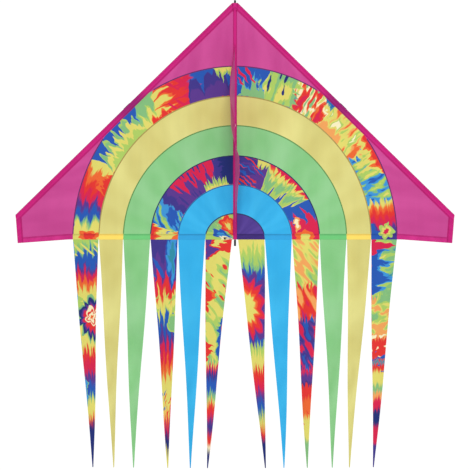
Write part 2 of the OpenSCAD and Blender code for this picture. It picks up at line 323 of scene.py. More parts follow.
def cut_size(out, up):
    """Sides of the smallest rectangle a grid can be cut from, found by turning it a degree at a time."""
    turn = np.radians(np.arange(90))[:, None]
    out, up = out.ravel(), up.ravel()
    wide = np.ptp(out * np.cos(turn) + up * np.sin(turn), axis=1)
    tall = np.ptp(up * np.cos(turn) - out * np.sin(turn), axis=1)
    best = np.argmin(wide * tall)
    return float(wide[best]), float(tall[best])


def hold_to_wing(piece, side_name, crosses_spine):
    """Rides on the wing, or, where the piece is sewn to the spine sleeve, has its place baked into its mesh.
    """
    if not crosses_spine:
        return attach(piece, "wing_" + side_name)
    side = SIDES[side_name]
    start, end = [(side * out * COS, SPINE_Y + out * SIN, 0) for out in (4 * MM, 22 * MM)]
    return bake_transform(piece)


# ---------- shader maths ----------

def linear(colour):
    """An 8-bit screen colour as the linear light values that shaders use."""
    c = np.array(colour) / 255
    return (*np.where(c <= 0.04045, c / 12.92, ((c + 0.055) / 1.055) ** 2.4), 1.0)


class Value:
    """An output socket. Arithmetic on it adds Math nodes."""

    def __init__(self, paint, socket):
        self.paint = paint
        self.socket = socket

    def maths(self, operation, *others):
        return self.paint.node("ShaderNodeMath", dict(enumerate((self, *others))), operation=operation)

    def __add__(self, other):
        return self.maths("ADD", other)

    def __mul__(self, other):
        return self.maths("MULTIPLY", other)

    def __sub__(self, other):
        return self.maths("SUBTRACT", other)

    def __rsub__(self, other):
        return self.paint.node("ShaderNodeMath", {0: other, 1: self}, operation="SUBTRACT")

    def __truediv__(self, other):
        return self.maths("DIVIDE", other)

    def __abs__(self):
        return self.maths("ABSOLUTE")

    __radd__ = __add__
    __rmul__ = __mul__

    def between(self, low, high):
        """0 up to low and 1 from high, rising evenly. With low above high it falls."""
        settings = {"Value": self, "From Min": low, "From Max": high}
        return self.paint.node("ShaderNodeMapRange", settings, clamp=True)

    def zigzag(self):
        """A wave of straight slopes between 0 and 1, one to each unit."""
        return self.maths("PINGPONG", 0.5) * 2


class Paint:
    """One material and its nodes."""

    def __init__(self, name):
        self.material = bpy.data.materials.new(name)
        self.material.use_nodes = True
        self.tree = self.material.node_tree
        self.shader = self.tree.nodes["Principled BSDF"]

    def feed(self, socket, value):
        """Links another node's output to a socket, or sets the socket's own number, vector or colour."""
        if isinstance(value, Value):
            self.tree.links.new(value.socket, socket)
        else:
            socket.default_value = value

    def node(self, kind, inputs=None, output=0, stops=None, **settings):
        """Adds a node: first its settings and a ramp's stops, then the values or links of its sockets."""
        made = self.tree.nodes.new(kind)
        for name, setting in settings.items():
            setattr(made, name, setting)
        if stops:
            elements = made.color_ramp.elements
            while len(elements) < len(stops):
                elements.new(1)
            for element, (place, colour) in zip(elements, stops):
                element.position = place
                element.color = linear(colour)
        for key, value in (inputs or {}).items():
            self.feed(made.inputs[key], value)
        return Value(self, made.outputs[output])

    def surface(self, **constants):
        """Sets the shader's own sockets, such as Sheen_Weight=0.2, or links what varies."""
        for name, value in constants.items():
            self.feed(self.shader.inputs[name.replace("_", " ")], value)

    def place(self):
        return self.node("ShaderNodeTexCoord", output="Object")

    def chart(self, title):
        """A UV map's two numbers."""
        both = self.node("ShaderNodeUVMap", uv_map=title)
        return [self.node("ShaderNodeSeparateXYZ", {0: both}, output=axis) for axis in (0, 1)]

    def vector(self, x, y, z=0.0):
        return self.node("ShaderNodeCombineXYZ", {0: x, 1: y, 2: z})

    def noise(self, vector, scale=1.0, detail=1.0, roughness=0.5):
        sizes = {"Vector": vector, "Scale": scale, "Detail": detail, "Roughness": roughness}
        return self.node("ShaderNodeTexNoise", sizes)

    def mix(self, share, below, above, blend="MIX"):
        """Colour below, turning to above by share, or blended with it in another way."""
        colours = [c if isinstance(c, Value) else linear(c) for c in (below, above)]
        sockets = {0: share, 6: colours[0], 7: colours[1]}
        return self.node("ShaderNodeMix", sockets, output=2, data_type="RGBA", blend_type=blend)

    def tint(self, colour, grey):
        """Colour multiplied by a number near 1."""
        return self.mix(1.0, colour, grey, "MULTIPLY")

    def bump(self, height, distance, strength=1.0):
        settings = {"Height": height, "Distance": distance, "Strength": strength}
        self.surface(Normal=self.node("ShaderNodeBump", settings))


# ---------- cloth ----------

THREADS = 1700  # to a metre, each way
RIPS = 200  # thicker threads to a metre
STITCHES = 330  # to a metre


def cloth_height(paint, across, along):
    """Height of the cloth: fine crossing threads, a thicker one every 5 mm each way, and soft creases."""
    threads = (across * THREADS).zigzag() * (along * THREADS).zigzag() * 0.25
    rips = [(abs((way * RIPS).zigzag() - 0.5)).between(0.44, 0.5) for way in (across, along)]
    creases = paint.noise(paint.vector(across * 34, along * 26), detail=2.0)
    return threads * 0.12 + (rips[0] + rips[1]) * 0.05 + creases * 1.8


def wear_and_crease_shade(paint, across, along):
    """A number near 1 that darkens and lightens cloth: broad dye variation, painted shade and light of soft
    vertical creases, specks.
    """
    broad = paint.noise(paint.vector(across * 9, along * 7), detail=2.0)
    # painted shade and light: long vertical noise darkens and lightens the colour like soft creases
    creases = paint.noise(paint.vector(across * 46, along * 5), detail=1.0)
    specks = paint.noise(paint.vector(across, along), scale=420.0)
    return broad * 0.16 + creases * 0.08 + specks * 0.05 + 0.855


def stitch_rows(paint, along, height, rows):
    """1 on the thread of each row of stitches at a height, 3 mm to a stitch, and 0 elsewhere."""
    dashes = (along * STITCHES).zigzag().between(0.12, 0.3)
    found = 0.0
    for row in rows:
        found = dashes * abs(height - row).between(0.55 * MM, 0.3 * MM) + found
    return found


def finish_cloth(paint, colour, rows=(), fold=None):
    """Weave, wear with painted crease shade, and stitching over a cloth's colour. rows are stitch rows on its
    edge chart.

    The thread is darker than the cloth, which puckers beside it, and painted shade darkens the pucker.
    Past fold on that chart the cloth is darkened too: painted shade along its folded edge, which curves away.
    """
    across, along = paint.chart("cut")
    colour = paint.tint(colour, wear_and_crease_shade(paint, across, along))
    height = cloth_height(paint, across, along)
    if rows:
        run, inset = paint.chart("edge")
        sewn = stitch_rows(paint, run, inset, rows)
        pucker = 0.0
        for row in rows:
            pucker = abs(inset - row).between(1.4 * MM, 0.2 * MM) + pucker
        # painted shade: the colour darkens in the pucker beside each stitch row
        colour = paint.tint(colour, 1 - pucker * 0.2)
        colour = paint.tint(colour, 1 - sewn * 0.22)
        # painted shade: the colour darkens past fold, along the folded edge
        if fold:
            colour = paint.tint(colour, 1 - inset.between(fold, fold + 2 * MM) * 0.5)
        height = height + sewn * 0.8 - pucker * 0.5
    paint.surface(Base_Color=colour, Roughness=0.55, Sheen_Weight=0.05, Sheen_Roughness=0.4,
                  Specular_IOR_Level=0.14)
    paint.bump(height, 0.35 * MM)
    return paint.material


def plain_cloth(name, light, shade, rows=(), fold=None, over=None):
    """Cloth dyed one colour, with painted shade of the soft folds that run across the arch.

    Between the two places of over it lies on darker cloth, which shows through it.
    """
    paint = Paint(name)
    run, share = paint.chart("way")
    # painted fold shade: soft noise across the arch mixes the shaded and the lit colour
    soft = paint.noise(paint.vector(run * 5.0, share * 0.5), detail=1.5)
    colour = paint.mix(soft.between(0.3, 0.68), shade, light)
    if over:
        start, stop = over
        covered = run.between(start, start + 0.03) * run.between(stop, stop - 0.03)
        blotches = paint.noise(paint.vector(run * 14, share)).between(0.3, 0.6)
        colour = paint.mix(covered * (blotches * 0.3 + 0.12), colour, (58, 30, 104))
    return finish_cloth(paint, colour, rows=rows, fold=fold)


# ---------- tie-dye ----------

DYE = {
    "navy": (28, 42, 112), "blue": (34, 84, 172), "sky": (56, 142, 206), "teal": (45, 135, 158),
    "indigo": (60, 50, 132), "purple": (86, 52, 136), "crimson": (208, 30, 74), "red": (218, 48, 44),
    "orange": (228, 100, 46), "peach": (232, 158, 88), "yellow": (216, 208, 104), "lime": (166, 198, 96),
    "sage": (126, 182, 120), "cream": (238, 230, 186), "night": (24, 20, 44),
}


class Dye:
    """Tie-dye colours on a piece's way chart: how far along it is, and how far across, both from 0 to 1."""

    def __init__(self, name):
        self.paint = Paint(name)
        along, across = self.paint.chart("way")
        self.seed = 0.0
        self.colour = DYE["yellow"]
        broad = self.paint.noise(self.paint.vector(along * 9, across * 2)) - 0.5
        close = self.paint.noise(self.paint.vector(along * 30, across * 4, 5.0)) - 0.5
        self.along = along + broad * 0.025 + close * 0.012
        self.across = across + broad * 0.16 + close * 0.14

    def teeth(self, way, count, slide=0.0, shape=0.8):
        """Pointed teeth from 0 to 1 along a way, uneven in width and height, count to a unit.

        A shape below 1 swells them into petals and above 1 thins them into spikes.
        """
        self.seed += 3.7
        unevenly = self.paint.noise(self.paint.vector(way * (count * 0.8), slide, self.seed))
        tall = self.paint.noise(self.paint.vector(way * (count * 0.55), slide, self.seed + 9.1))
        return (way * count + unevenly * 1.6).zigzag().maths("POWER", shape) * (tall * 1.8 - 0.15)

    def zones(self, place, zones, soft=0.008):
        """The colour of each zone up to the place where it ends, turning quickly from one to the next.

        zones names the colours in order, with the place between two of them where one ends.
        """
        words = zones.split() + ["1.0"]
        stops = []
        start = 0.0
        for colour, end in zip(words[::2], map(float, words[1::2])):
            middle = (start + end) / 2
            stops += [(min(start + soft, middle), DYE[colour]), (max(end - soft, middle), DYE[colour])]
            start = end
        return self.paint.node("ShaderNodeValToRGB", {0: place}, stops=stops)

    def stretch(self, start, stop, fade=0.02):
        """1 between two places along the piece, fading to 0 just inside them."""
        return self.along.between(start, start + fade) * self.along.between(stop, stop - fade)

    def ground(self, zones, reach=0.05, count=4, fine=0.35, longer=(0, 0, 0)):
        """Zones along the piece whose borders are flames: long teeth across it, with finer teeth on them.

        The flames are longer by the last number of longer between its first two places.
        """
        slide = self.along * 7
        flames = self.teeth(self.across, count, slide) + self.teeth(self.across, count * 3, slide) * fine
        long_reach = self.stretch(longer[0], longer[1], 0.06) * longer[2] + reach
        self.colour = self.zones(self.along + (flames - 0.5) * long_reach, zones)

    def lay(self, field, zones, soft=0.03):
        """Covers what is under it where the field is below 1, with the zones' colours."""
        self.colour = self.paint.mix(field.between(1.02, 0.98), self.colour, self.zones(field, zones, soft))

    def fringe(self, edge, start, stop, depth, count, zones, shape=0.8):
        """Spikes that reach in from an edge, 0 or 1 across, between two places along the piece."""
        inset = self.across if edge == 0 else 1 - self.across
        spikes = self.teeth(self.along, count, shape=shape) + self.teeth(self.along, count * 2.6) * 0.35
        self.lay(inset / ((spikes * 1.1 + 0.15) * depth * self.stretch(start, stop, 0.03) + 0.0001), zones)

    def burst(self, along, across, long, wide, count, zones, spread=0.5):
        """A star of rings round a centre. Its radii are shares of the piece's length and width."""
        up = (self.along - along) / long
        over = (self.across - across) / wide
        radius = (up * up + over * over).maths("SQRT")
        angle = up.maths("ARCTAN2", over) / (2 * math.pi)
        spikes = self.teeth(angle, count, radius * 0.6)
        self.lay(radius / (spikes * spread + (1 - spread / 2)), zones)

    def grain(self, start, stop, count, zones, slant=0.0, blend=0.03):
        """Streaks across the piece, each in one of the zones' colours, between two places along it."""
        self.seed += 3.7
        way = self.along + self.across * slant
        where = self.paint.vector(way * count, self.across * 1.3, self.seed)
        streaks = self.paint.noise(where, detail=1.2).between(0.27, 0.73)
        edge = self.along + (self.teeth(self.across, 5, self.along * 5) - 0.5) * 0.05
        share = edge.between(start, start + 0.01) * edge.between(stop, stop - 0.01)
        self.colour = self.paint.mix(share, self.colour, self.zones(streaks, zones, blend))

    def streaks(self, start, stop, count, low, high, colour, slant=0.0):
        """Separate thin flames across the piece, between two places along it and two across it."""
        way = self.along + self.across * slant
        thin = self.teeth(way, count, shape=1.3)
        where = self.paint.vector(way * count, self.across * 2.6, self.seed)
        broken = self.paint.noise(where).between(0.3, 0.6)
        across = self.across.between(low, low + 0.15) * self.across.between(high, high - 0.3)
        share = (thin * broken * across * self.stretch(start, stop)).between(0.36, 0.42)
        self.colour = self.paint.mix(share, self.colour, DYE[colour])


def outer_dye_left(dye):
    dye.ground(
        "blue .175 crimson .225 red .3 orange .335 yellow .47 sage .53 lime .62 yellow .73 orange .77 "
        "red .81 crimson .85 purple .88 blue .925 sage .945 yellow", reach=0.06, count=3,
        longer=(0.22, 0.42, 0.1))
    dye.fringe(0, -0.03, 0.215, 0.78, 9, "purple .55 indigo", shape=0.6)
    dye.fringe(1, 0.0, 0.09, 0.5, 34, "yellow .5 lime")
    dye.streaks(0.2, 0.32, 20, -0.4, 1.4, "crimson", slant=-0.1)
    dye.fringe(0, 0.3, 0.42, 0.35, 22, "red .7 orange", shape=1.2)
    dye.fringe(1, 0.34, 0.5, 0.8, 26, "sage .8 lime")
    dye.fringe(1, 0.43, 0.69, 1.05, 20, "blue .9 sky")
    dye.fringe(0, 0.44, 0.69, 0.9, 19, "yellow .5 sage .88 lime")
    dye.fringe(0, 0.44, 0.68, 0.65, 24, "lime .5 yellow")
    dye.fringe(0, 0.7, 0.81, 0.6, 24, "red .5 orange")
    dye.burst(0.985, 0.4, 0.022, 0.45, 5, "red .6 orange")


def outer_dye_right(dye):
    dye.ground(
        "blue .12 lime .27 yellow .42 yellow .68 lime .83 yellow .862 orange .885 red .915 crimson .95 "
        "purple .975 indigo", reach=0.04, count=4)
    dye.grain(0.09, 0.29, 42, "teal .12 sage .4 lime .64 yellow")
    dye.fringe(1, -0.03, 0.14, 1.2, 12, "blue .95 sky")
    dye.fringe(0, 0.01, 0.14, 0.8, 20, "sage .85 sky", shape=1.1)
    dye.streaks(0.0, 0.1, 34, 0.3, 1.4, "crimson", slant=0.1)
    dye.streaks(0.12, 0.28, 26, 0.2, 1.6, "navy")
    dye.grain(0.26, 0.43, 60, "crimson .16 red .36 orange .46 cream .62 yellow")
    dye.streaks(0.26, 0.4, 40, -0.4, 1.4, "sage")
    dye.grain(0.41, 0.66, 52, "orange .3 peach .42 yellow .68 lime .85 cream")
    dye.fringe(0, 0.4, 0.54, 0.6, 18, "peach .75 yellow")
    dye.fringe(1, 0.38, 0.445, 0.45, 40, "blue .6 teal")
    dye.grain(0.63, 0.84, 42, "blue .2 sky .46 sage .56 lime .75 yellow")
    dye.fringe(1, 0.58, 0.75, 0.65, 28, "red .25 orange .45 yellow")
    dye.fringe(0, 0.93, 1.03, 0.6, 20, "blue .8 purple")
    dye.burst(0.97, 0.6, 0.03, 0.3, 6, "crimson .4 yellow .7 lime")


def inner_dye_left(dye):
    dye.ground("navy .12 indigo .24 purple .62 indigo .7 sky .93 yellow", reach=0.06, count=3)
    dye.fringe(1, 0.16, 0.57, 1.05, 12, "crimson .72 purple", shape=1.3)
    dye.streaks(0.12, 0.62, 22, -0.2, 1.4, "indigo")
    dye.fringe(0, 0.06, 0.34, 0.34, 30, "yellow .35 lime")
    dye.grain(0.68, 0.93, 13, "blue .3 sky .6 sage .78 lime", slant=0.3)
    dye.fringe(1, 0.87, 1.06, 0.7, 16, "red .3 orange .5 yellow")
    dye.fringe(0, 0.9, 1.06, 0.4, 18, "orange .6 yellow")


def inner_dye_right(dye):
    dye.ground("indigo .14 purple .36 blue .8 crimson", reach=0.2, count=2.5)
    dye.streaks(0.0, 0.28, 12, -0.4, 1.4, "red", slant=0.5)
    dye.streaks(0.0, 0.3, 9, -0.4, 1.4, "blue", slant=0.5)
    dye.fringe(1, 0.17, 0.29, 0.35, 20, "yellow .7 lime")
    dye.fringe(
        1, 0.27, 0.68, 1.35, 8, "crimson .1 orange .16 yellow .3 sage .58 lime .85 yellow", shape=0.6)
    dye.fringe(1, 0.32, 0.62, 0.7, 14, "yellow .7 lime", shape=1.3)
    dye.fringe(1, 0.33, 0.6, 0.25, 24, "crimson .8 orange")
    dye.burst(0.83, 0.25, 0.08, 0.12, 3, "cream .6 peach", spread=0.9)
    dye.burst(0.98, 0.5, 0.07, 0.4, 5, "yellow .5 orange")


def centre_dye(dye):
    dye.ground("lime .25 yellow .45 sage .7 lime", reach=0.25, count=4)
    dye.fringe(1, 0.3, 0.8, 0.4, 14, "sage .6 lime")
    dye.burst(0.25, 0.55, 0.26, 0.42, 7, "yellow .35 orange .7 red")
    dye.burst(0.75, 0.45, 0.2, 0.35, 6, "sky .5 blue")
    dye.burst(0.95, 0.25, 0.2, 0.25, 7, "cream .3 night .6 cream")


def outer_tail_left(dye):
    dye.ground(
        "lime .03 sage .06 blue .12 purple .14 crimson .175 orange .215 yellow .37 yellow .49 red .53 "
        "crimson .59 purple .63 blue .69 sage .71 yellow .785 red .81 navy", reach=0.055, count=4)
    dye.streaks(0.0, 0.08, 30, -0.4, 1.4, "yellow", slant=-0.1)
    dye.fringe(0, 0.24, 0.32, 0.5, 26, "lime")
    dye.burst(0.345, 0.85, 0.1, 0.95, 12, "crimson .3 red .5 crimson .6 purple .7 navy .88 sage")
    dye.burst(0.34, 0.75, 0.045, 0.4, 4, "orange .25 cream .55 red .75 cream", 0.9)
    dye.fringe(0, 0.6, 0.72, 0.4, 20, "sky .7 sage")


def inner_tail_left(dye):
    dye.ground(
        "indigo .08 purple .17 crimson .2 red .255 yellow .33 lime .345 blue .42 purple .47 "
        "crimson .525 red .555 orange .6 yellow .77 orange .8 crimson .85 navy .94 yellow", reach=0.1,
        count=3)
    dye.burst(0.07, 0.8, 0.12, 0.2, 3, "teal .5 sky .8 blue", spread=0.9)
    dye.streaks(0.02, 0.18, 12, -0.4, 0.7, "blue", slant=-0.2)
    dye.streaks(0.22, 0.34, 18, -0.4, 1.4, "lime", slant=0.12)
    dye.burst(0.37, 1.0, 0.045, 0.45, 4, "sage .8 lime")
    dye.streaks(0.62, 0.76, 34, -0.4, 0.6, "blue", slant=0.1)
    dye.streaks(0.66, 0.78, 30, 0.1, 1.4, "red", slant=0.1)


def centre_tail_left(dye):
    dye.ground(
        "yellow .26 lime .5 yellow .555 crimson .58 indigo .61 blue .67 sage .7 yellow .72 red .77 "
        "crimson .79 indigo .85 red .9 cream .93 navy", reach=0.05, count=5)
    dye.grain(-0.03, 0.54, 22, "sage .28 lime .5 yellow", slant=-0.08)
    dye.streaks(0.0, 0.34, 13, -0.4, 1.2, "red", slant=-0.08)
    dye.fringe(0, -0.02, 0.09, 0.8, 16, "purple .6 red", shape=1.2)
    dye.fringe(0, 0.2, 0.29, 0.5, 24, "red .7 orange")
    dye.fringe(1, 0.34, 0.53, 0.35, 22, "blue .7 sage")
    dye.fringe(1, -0.02, 0.05, 0.6, 26, "red")
    dye.fringe(0, 0.44, 0.54, 0.45, 34, "red", shape=1.3)


def centre_tail_right(dye):
    dye.ground(
        "yellow .05 lime .1 sage .13 blue .2 indigo .4 blue .46 lime .5 yellow .57 red .62 "
        "crimson .665 purple .7 blue .765 sage .785 yellow .83 red .87 navy", reach=0.06, count=5)
    dye.burst(0.295, 0.06, 0.16, 1.1, 12, "yellow .42 orange .52 red .68 crimson .82 purple", spread=0.4)


def inner_tail_right(dye):
    dye.ground(
        "lime .19 peach .22 crimson .33 crimson .46 indigo .56 crimson .59 purple .63 navy .635 red .7 "
        "orange .78 yellow .88 sage", reach=0.03, count=4)
    dye.grain(-0.03, 0.22, 22, "sage .3 lime .5 yellow .66 peach", slant=-0.12)
    dye.grain(0.19, 0.36, 18, "crimson .3 red .5 orange .62 peach", slant=-0.14)
    dye.grain(0.34, 0.57, 20, "crimson .42 purple .56 indigo .7 blue", slant=-0.08)
    dye.streaks(0.7, 0.84, 26, -0.4, 1.4, "red", slant=-0.05)


def outer_tail_right(dye):
    dye.ground(
        "sage .27 lime .37 peach .42 red .53 teal .55 red .58 yellow .64 sage .67 peach .7 crimson .75 "
        "navy .82 crimson .9 indigo", reach=0.025, count=4)
    dye.grain(-0.03, 0.28, 26, "teal .2 sage .52 lime .75 yellow", slant=0.03)
    dye.grain(0.24, 0.43, 32, "sage .3 lime .5 yellow .62 peach", slant=0.03)
    dye.fringe(0, 0.02, 0.24, 1.0, 16, "blue .7 sky", shape=1.1)
    dye.fringe(0, -0.01, 0.07, 0.95, 18, "crimson", shape=1.1)
    dye.streaks(0.4, 0.53, 22, -0.4, 1.4, "cream", slant=0.02)
    dye.streaks(0.48, 0.6, 30, -0.4, 1.4, "blue", slant=0.02)


DYED = {
    "outer_dye_band_left": outer_dye_left, "outer_dye_band_right": outer_dye_right,
    "inner_dye_band_left": inner_dye_left, "inner_dye_band_right": inner_dye_right,
    "centre_panel_left": centre_dye,
    "outer_dye_tail_left": outer_tail_left, "inner_dye_tail_left": inner_tail_left,
    "centre_tail_left": centre_tail_left, "centre_tail_right": centre_tail_right,
    "inner_dye_tail_right": inner_tail_right, "outer_dye_tail_right": outer_tail_right,
}


def dyed_cloth(piece_name, rows=()):
    """The tie-dye of one piece. Stitch rows make it the cloth of that piece's hem."""
    dye = Dye(piece_name + ("_hem_dye" if rows else "_dye"))
    DYED[piece_name](dye)
    return finish_cloth(dye.paint, dye.colour, rows=rows)


# ---------- other finishes ----------

def floor_paint():
    """Pale smooth board with faint mottling."""
    paint = Paint("floor")
    cloudy = paint.noise(paint.place(), scale=3.0, detail=3.0)
    paint.surface(Base_Color=paint.tint((247, 246, 245), cloudy * 0.04 + 0.97), Roughness=0.7)
    return paint.material


def thread_paint(name, colour):
    """The dark line of a seam: folded cloth edges under dense stitching."""
    paint = Paint(name)
    run, inset = paint.chart("edge")
    dashes = (run * 400).zigzag()
    wear = paint.noise(paint.vector(run * 60, inset * 400), detail=2.0)
    paint.surface(Base_Color=paint.tint(colour, dashes * 0.3 + wear * 0.3 + 0.7), Roughness=0.8)
    paint.bump(dashes, 0.15 * MM)
    return paint.material


def fibreglass_paint():
    """Pultruded rod: near black, with fine fibres along it and rubbed patches."""
    paint = Paint("fibreglass")
    where = paint.place()
    stretched = paint.node("ShaderNodeVectorMath", {0: where, 1: (900, 900, 14)}, operation="MULTIPLY")
    fibres = paint.noise(stretched, detail=3.0)
    rubbed = paint.noise(where, scale=60.0, detail=4.0)
    colour = paint.mix(fibres.between(0.35, 0.7), (24, 25, 28), (58, 59, 64))
    colour = paint.tint(colour, rubbed * 0.3 + 0.85)
    paint.surface(Base_Color=colour, Roughness=rubbed * 0.25 + 0.22, Coat_Weight=0.3)
    paint.bump(fibres, 0.04 * MM)
    return paint.material


def moulded_paint(name, colour, dullness, grain):
    """Moulded plastic or vinyl: a fine grain, with paler scuffs where it is handled."""
    paint = Paint(name)
    where = paint.place()
    grains = paint.noise(where, scale=grain, detail=3.0)
    scuffs = paint.noise(where, scale=90.0, detail=6.0, roughness=0.7)
    marks = scuffs.between(0.58, 0.72)
    paint.surface(Base_Color=paint.mix(marks * 0.4, colour, (92, 92, 96)), Roughness=grains * 0.2 + dullness)
    paint.bump(grains, 0.06 * MM)
    return paint.material


def nickel_paint():
    """Plated eyelet with fine scratches and a little tarnish."""
    paint = Paint("nickel")
    where = paint.place()
    scratches = paint.noise(where, scale=2600.0, detail=2.0)
    tarnish = paint.noise(where, scale=400.0, detail=4.0)
    colour = paint.mix(tarnish.between(0.5, 0.75), (214, 210, 200), (150, 138, 118))
    paint.surface(Base_Color=colour, Metallic=1.0, Roughness=scratches * 0.25 + 0.15)
    paint.bump(scratches, 0.01 * MM)
    return paint.material


# ---------- sail panels ----------

# painted lit and painted shaded colour of each plain cloth
PLAIN = {
    "magenta": ((203, 78, 150), (186, 62, 134)), "sleeve": ((204, 32, 126), (186, 24, 112)),
    "yellow": ((222, 217, 138), (200, 190, 110)), "yellow_hem": ((252, 220, 104), (246, 208, 92)),
    "green": ((148, 204, 147), (122, 190, 120)), "green_hem": ((112, 200, 122), (100, 188, 112)),
    "blue": ((60, 182, 234), (42, 164, 220)), "blue_hem": ((52, 164, 222), (40, 150, 210)),
    "purple": ((88, 66, 150), (68, 48, 128)), "purple_hem": ((66, 44, 122), (54, 36, 108)),
    "magenta_hem": ((208, 50, 136), (190, 36, 120)),
}
# the plain cloth and the record's slot of each panel and tail that isn't tie-dyed
CLOTH_OF = {
    "nose_panel": ("magenta", "magenta_cloth"), "tip_panel": ("magenta", "magenta_cloth"),
    "yellow_band": ("yellow", "yellow_cloth"), "yellow_tail": ("yellow", "yellow_cloth"),
    "green_band": ("green", "green_cloth"), "green_tail": ("green", "green_cloth"),
    "blue_band": ("blue", "sky_blue_cloth"), "blue_tail": ("blue", "sky_blue_cloth"),
    "centre_panel": ("purple", "purple_cloth"),
}
HEM_ROWS = (14.2 * MM, 16.6 * MM)
PANEL_START = SEAM - 1.5 * MM  # the panels' edges lie under the spine sleeve's
OUTER = ARCHES.index("outer_dye_band")
made_cloth = {}


def shared_cloth(key, rows=()):
    """Each plain cloth is one material for all of its pieces."""
    if (key, rows) not in made_cloth:
        made_cloth[key, rows] = plain_cloth(key + "_cloth", *PLAIN[key], rows=rows)
    return made_cloth[key, rows]


def cloth_for(kind, side_name, hem=False):
    """The material and the record's slot of a panel, a tail, or a panel's hem, which is doubled and sewn."""
    name = f"{kind}_{side_name}"
    rows = HEM_ROWS if hem else ()
    if name in DYED:
        return dyed_cloth(name, rows), "tie_dye_cloth"
    key, slot = CLOTH_OF[kind]
    return shared_cloth(key + "_hem" * hem, rows), slot


def two_shares(rows, columns):
    """Two grids of shares from 0 to 1, one growing from row to row and one from column to column."""
    return np.meshgrid(np.linspace(0, 1, rows), np.linspace(0, 1, columns), indexing="ij")


def arch_height(arch, out):
    """Height of an arch above the trailing edge's line, at a place along it."""
    width, height = ARCH[arch]
    return height * np.sqrt(np.clip(1 - (out / width) ** 2, 0, None))


def arch_out(arch, height):
    """How far out along the wing an arch is, at a height above the trailing edge's line."""
    return ARCH[arch, 0] * np.sqrt(np.clip(1 - (height / ARCH[arch, 1]) ** 2, 0, None))


def band_grid(arch):
    """A quarter ring between two arches, from the spine seam down to the hem.

    Across it, the ellipse's half width and height grow evenly. Along it, the ellipse's angle turns
    evenly from the spine to the hem. The outer band stops under the leading edge sleeve.
    """
    share, run = two_shares(17, 150)

    def at(share):
        width, height = [(1 - share) * ARCH[arch - 1, k] + share * ARCH[arch, k] for k in (0, 1)]
        high = np.arccos(PANEL_START / width)
        low = np.arcsin((HEM_H - TUCK) / height)
        angle = high + (low - high) * run
        return width * np.cos(angle), HEM_Z + height * np.sin(angle), 1 - angle / (math.pi / 2)

    inner, outer = [from_edge(*at(edge)[:2]) for edge in (np.zeros_like(share), np.ones_like(share))]
    room = np.clip((inner - PANEL_INSET) / (inner - outer), 0, 1)
    share = share * np.where(outer < PANEL_INSET, room, 1)
    return *at(share), share


def under_sleeve():
    """The two angles of the outer arch where it goes under the leading edge sleeve, nose side first."""
    angle = np.linspace(0, math.pi / 2, 4001)
    inset = from_edge(OUTER_W * np.cos(angle), HEM_Z + OUTER_H * np.sin(angle))
    hidden = angle[inset < PANEL_INSET]
    return hidden.max(), hidden.min()


def nose_grid():
    """The panel above the outer arch: columns from the arch up to the leading edge sleeve."""
    reach = OUTER_W * math.cos(under_sleeve()[0])
    run, share = two_shares(110, 40)
    out = PANEL_START + (reach - PANEL_START) * run
    top = NOSE[1] + (EDGE[1] * out - PANEL_INSET) / EDGE[0]
    low = HEM_Z + arch_height(OUTER, out)
    return out, low + (top - low) * share, run, share


def tip_grid():
    """The wing tip panel: rows from the outer arch out to the leading edge sleeve or the tip hem.

    Its lowest 70 mm follow the slope of the trailing edge more and more.
    """
    top = HEM_Z + OUTER_H * math.sin(under_sleeve()[1])
    bottom = HEM_TOP - TUCK
    run, share = two_shares(90, 50)
    up = bottom + (top - bottom) * run
    inner = arch_out(OUTER, up - HEM_Z)
    by_sleeve = (NOSE[1] - up) * EDGE[0] / -EDGE[1] - PANEL_INSET / EDGE_OUT[0]
    out = inner + (np.minimum(by_sleeve, by_tip(up, TIP_HEM_W - TUCK)) - inner) * share
    droop = (hem_line(out) - HEM_Z) * np.clip(1 - (up - bottom) / (70 * MM), 0, 1)
    return out, up + droop, run, share


def by_tip(up, inset):
    """How far out a line is that runs inset from the wing tip's free edge, at a height."""
    return TIP_TOP[0] - (inset + (up - TIP_TOP[1]) * TIP_OUT[1]) / TIP_OUT[0]


def centre_grid():
    """The quarter disc at the foot of the spine: columns from the hem up to the centre arch."""
    run, share = two_shares(50, 24)
    bottom = HEM_TOP - TUCK
    reach = arch_out(0, bottom - HEM_Z)
    out = PANEL_START + (reach - PANEL_START) * np.sin(run * math.pi / 2)
    up = bottom + (HEM_Z + arch_height(0, out) - bottom) * share
    return out, up, *disc_way(out, up)


def disc_way(out, up):
    """Way chart of a place on the centre panel: its angle from the spine, and its share of the radius."""
    across, high = out / ARCH[0, 0], (up - HEM_Z) / ARCH[0, 1]
    return 1 - np.arctan2(high, across) / (math.pi / 2), np.hypot(high, across)


GRIDS = {"nose_panel": nose_grid, "tip_panel": tip_grid, "centre_panel": centre_grid}


def add_panel(panel, side_name):
    """One panel of sail cloth on one wing. Returns it with its flat shape."""
    side = SIDES[side_name]
    out, up, way, share = GRIDS[panel]() if panel in GRIDS else band_grid(ARCHES.index(panel))
    maps = {"cut": (side * out, up), "way": (way, share)}
    piece = sew(f"{panel}_{side_name}_cloth", on_sail(side, out, up), maps, *cloth_for(panel, side_name),
                f"{panel}_{side_name}")
    return hold_to_wing(piece, side_name, panel != "tip_panel"), out, up


def hem_span(panel, height):
    """Where a panel's piece of the trailing hem starts and stops, at a height above the trailing edge."""
    if panel == "tip_panel":
        return arch_out(OUTER, height), by_tip(TIP_LOW[1] + height, TIP_HEM_W - 1 * MM)
    arch = ARCHES.index(panel)
    return arch_out(arch - 1, height) if arch else np.full_like(height, PANEL_START), arch_out(arch, height)


# shares of a fold's width, from its back edge round the fold to its front edge
FOLD = np.concatenate([[-1, -0.6, -0.25, -0.08], np.linspace(-0.03, 0.03, 7), [0.08, 0.25, 0.6, 1]])


def fold_back(share, layer=LAYER):
    """How far behind its middle each line of a folded edge stands: two layers joined by a round fold."""
    return -layer * np.sin(np.clip(share / 0.03, -1, 1) * math.pi / 2)


